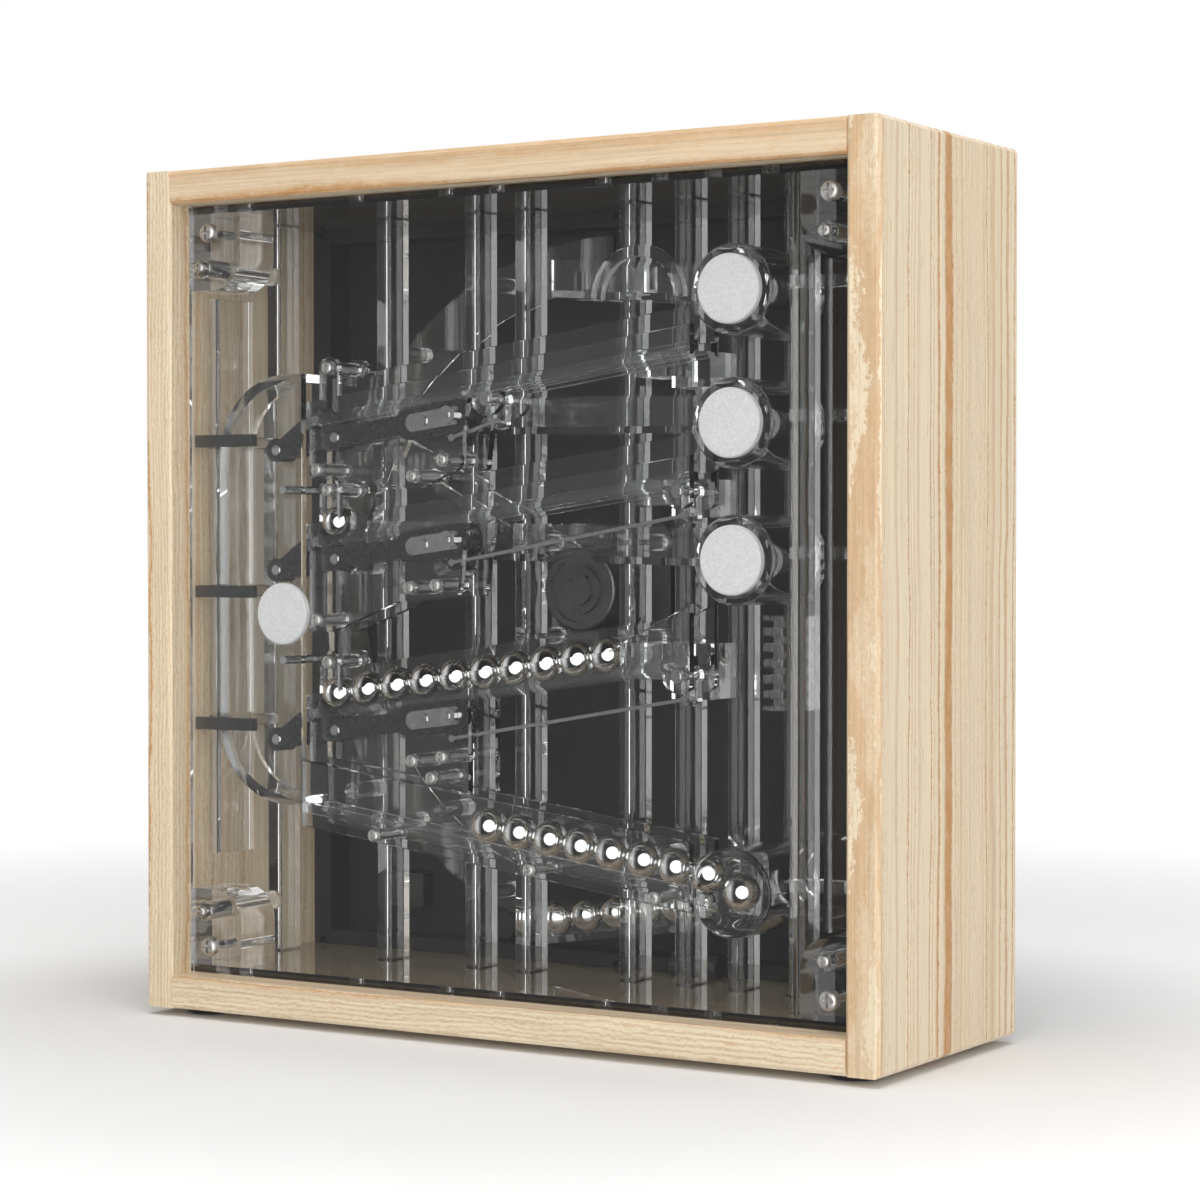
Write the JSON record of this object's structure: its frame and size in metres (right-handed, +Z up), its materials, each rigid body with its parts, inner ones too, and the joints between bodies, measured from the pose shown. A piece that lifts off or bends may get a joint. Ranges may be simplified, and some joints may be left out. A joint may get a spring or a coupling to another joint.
{
  "type": "rolling ball clock",
  "caption": "Wooden-cased rolling ball clock: a motor lift feeds steel balls to clear counting rails whose levers tip at full count.",
  "frame": {"origin": "on the surface the clock stands on, under the middle of its case", "axes": "+Z up, +Y from the clear front to the back, +X to the right seen from the front"},
  "size_m": [0.3, 0.107, 0.309],
  "materials": {
    "pine_wood": "clear oiled pine",
    "foot_rubber": "matt black",
    "clear_acrylic": "clear cast acrylic, polished edges",
    "bright_steel": "bright machined steel",
    "charcoal_board": "matt charcoal",
    "white_felt": "soft white felt",
    "black_fitting": "satin black",
    "black_lever": "satin black",
    "motor_case": "grey",
    "hub_brass": "turned brass",
    "polished_ball": "polished hardened steel"
  },
  "bodies": {
    "case": {"side_board_left": "pine_wood", "side_board_right": "pine_wood", "top_board": "pine_wood", "bottom_board": "pine_wood", "corner_dowels": "pine_wood", "rubber_feet": "foot_rubber", "front_panel": "clear_acrylic", "panel_standoffs": "clear_acrylic", "corner_blocks": "clear_acrylic", "linings": "clear_acrylic", "uprights": "clear_acrylic", "minute_rail_walls": "clear_acrylic", "five_minute_rail_walls": "clear_acrylic", "hour_rail_walls": "clear_acrylic", "rail_ledges": "clear_acrylic", "queue_walls": "clear_acrylic", "clear_spacers": "clear_acrylic", "rail_blocks": "clear_acrylic", "turn_drums": "clear_acrylic", "turn_straps": "clear_acrylic", "return_chute": "clear_acrylic", "upper_lanes": "clear_acrylic", "lower_channel": "clear_acrylic", "motor_plate": "clear_acrylic", "lift_guide": "clear_acrylic", "panel_screws": "bright_steel", "back_screws": "bright_steel", "rail_screws": "bright_steel", "lane_pins": "bright_steel", "rear_battens": "charcoal_board", "back_panel": "charcoal_board", "felt_pads": "white_felt", "switch_housing": "black_fitting", "power_inlet": "black_fitting", "chute_straps": "black_fitting", "run_capacitor": "black_fitting", "gearmotor": "motor_case"},
    "switch": {"switch_rocker": "black_fitting"},
    "lift": {"lift_arm": "clear_acrylic", "lift_scoop": "clear_acrylic", "lift_hub": "hub_brass", "lift_shaft": "bright_steel"},
    "five_minute_ball": {"five_minute_ball": "polished_ball"},
    "hour_balls": {"hour_balls": "polished_ball"},
    "queue_balls": {"queue_balls": "polished_ball"},
    "turning_ball": {"turning_ball": "polished_ball"},
    "channel_balls": {"channel_balls": "polished_ball"},
    "minute_gate": {"minute_gate_lever": "black_lever", "minute_gate_fittings": "bright_steel"},
    "minute_crank": {"minute_trip_crank": "clear_acrylic"},
    "minute_link": {"minute_trip_link": "bright_steel"},
    "five_minute_gate": {"five_minute_gate_lever": "black_lever", "five_minute_gate_fittings": "bright_steel"},
    "five_minute_crank": {"five_minute_trip_crank": "clear_acrylic"},
    "five_minute_link": {"five_minute_trip_link": "bright_steel"},
    "hour_gate": {"hour_gate_lever": "black_lever", "hour_gate_fittings": "bright_steel"},
    "hour_crank": {"hour_trip_crank": "clear_acrylic"},
    "hour_link": {"hour_trip_link": "bright_steel"}
  },
  "joints": [
    {"name": "minute_gate_tip", "type": "hinge", "parent": "case", "child": "minute_gate", "pos_m": [-0.0266, -0.0265, 0.2183], "axis": [0, -1, 0], "range_deg": [0, 4], "stiffness_Nm_per_rad": 0.02, "springref_deg": -22.92},
    {"name": "minute_crank_tip", "type": "hinge", "parent": "case", "child": "minute_crank", "pos_m": [-0.01002, -0.0265, 0.22358], "axis": [0, -1, 0], "range_deg": [0, 4]},
    {"name": "minute_link_slide", "type": "slide", "parent": "case", "child": "minute_link", "axis": [1, 0, 0], "range_m": [0, 0.0006]},
    {"name": "five_minute_gate_tip", "type": "hinge", "parent": "case", "child": "five_minute_gate", "pos_m": [-0.0266, -0.0265, 0.1745], "axis": [0, -1, 0], "range_deg": [0, 4], "stiffness_Nm_per_rad": 0.02, "springref_deg": -22.92},
    {"name": "five_minute_crank_tip", "type": "hinge", "parent": "case", "child": "five_minute_crank", "pos_m": [0.067, -0.0265, 0.1906], "axis": [0, -1, 0], "range_deg": [0, 4]},
    {"name": "five_minute_link_slide", "type": "slide", "parent": "case", "child": "five_minute_link", "axis": [1, 0, 0], "range_m": [0, 0.0006]},
    {"name": "hour_gate_tip", "type": "hinge", "parent": "case", "child": "hour_gate", "pos_m": [-0.0266, -0.0265, 0.1126], "axis": [0, -1, 0], "range_deg": [0, 4], "stiffness_Nm_per_rad": 0.02, "springref_deg": -22.92},
    {"name": "hour_crank_tip", "type": "hinge", "parent": "case", "child": "hour_crank", "pos_m": [0.067, -0.0265, 0.1287], "axis": [0, -1, 0], "range_deg": [0, 4]},
    {"name": "hour_link_slide", "type": "slide", "parent": "case", "child": "hour_link", "axis": [1, 0, 0], "range_m": [0, 0.0006]},
    {"name": "lift_turn", "type": "hinge", "parent": "case", "child": "lift", "pos_m": [0, 0.0325, 0.1566], "axis": [0, 1, 0], "continuous": true},
    {"name": "five_minute_ball_roll", "type": "slide", "parent": "case", "child": "five_minute_ball", "axis": [0.9903, 0, 0.1392], "range_m": [0, 0.12]},
    {"name": "hour_balls_roll", "type": "slide", "parent": "case", "child": "hour_balls", "axis": [0.9903, 0, 0.1392], "range_m": [0, 0.012]},
    {"name": "queue_balls_roll", "type": "slide", "parent": "case", "child": "queue_balls", "axis": [-0.9912, 0, 0.1323], "range_m": [0, 0.04]},
    {"name": "channel_balls_roll", "type": "slide", "parent": "case", "child": "channel_balls", "axis": [0.9903, 0, 0.1392], "range_m": [0, 0.025]},
    {"name": "turning_ball_roll", "type": "slide", "parent": "case", "child": "turning_ball", "axis": [0, 0.994, -0.1094], "range_m": [0, 0.04]},
    {"name": "switch_rock", "type": "hinge", "parent": "case", "child": "switch", "pos_m": [-0.1, 0.0491, 0.04], "axis": [0, 0, 1], "range_deg": [-20, 0]}
  ],
  "couplings": [
    {"joint": "minute_crank_tip", "follows": "minute_gate_tip", "ratio": 1},
    {"joint": "minute_link_slide", "follows": "minute_gate_tip", "m_per_rad": 0.008},
    {"joint": "five_minute_crank_tip", "follows": "five_minute_gate_tip", "ratio": 1},
    {"joint": "five_minute_link_slide", "follows": "five_minute_gate_tip", "m_per_rad": 0.008},
    {"joint": "hour_crank_tip", "follows": "hour_gate_tip", "ratio": 1},
    {"joint": "hour_link_slide", "follows": "hour_gate_tip", "m_per_rad": 0.008}
  ]
}
